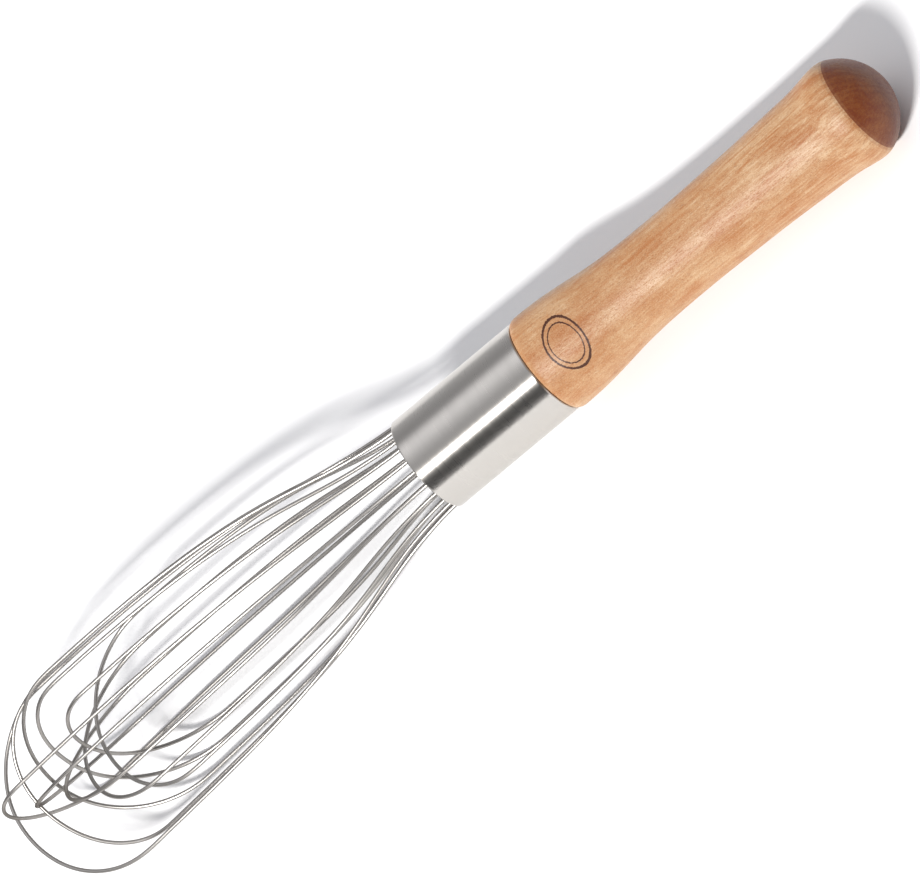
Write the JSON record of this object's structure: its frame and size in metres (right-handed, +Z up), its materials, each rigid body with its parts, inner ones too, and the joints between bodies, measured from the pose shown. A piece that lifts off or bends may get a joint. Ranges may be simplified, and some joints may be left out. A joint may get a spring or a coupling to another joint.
{
  "type": "balloon whisk",
  "caption": "Balloon whisk with nested stainless wire loops set in a brushed steel ferrule on a waisted, dome-ended turned maple handle.",
  "frame": {"origin": "on the surface the whisk lies on, under the middle of its bounding box", "axes": "+X along the whisk from the basket towards the handle's butt, seen from above; +Z up. The whisk's own axis dips 3.44 degrees towards the butt, because the basket is wider than the handle"},
  "size_m": [0.3102, 0.0566, 0.0536],
  "materials": {
    "maple": "fine-grained maple under a thin clear satin finish",
    "ferrule_steel": "stainless steel, brushed round the tube",
    "wire_steel": "bright drawn stainless spring wire",
    "resin": "cast resin, dull"
  },
  "bodies": {
    "root": {"handle": "maple", "ferrule": "ferrule_steel", "resin_plug": "resin", "wire_loop_01": "wire_steel", "wire_loop_02": "wire_steel", "wire_loop_03": "wire_steel", "wire_loop_04": "wire_steel", "wire_loop_05": "wire_steel", "wire_loop_06": "wire_steel", "wire_loop_07": "wire_steel", "wire_loop_08": "wire_steel", "wire_loop_09": "wire_steel", "wire_loop_10": "wire_steel"}
  },
  "joints": []
}
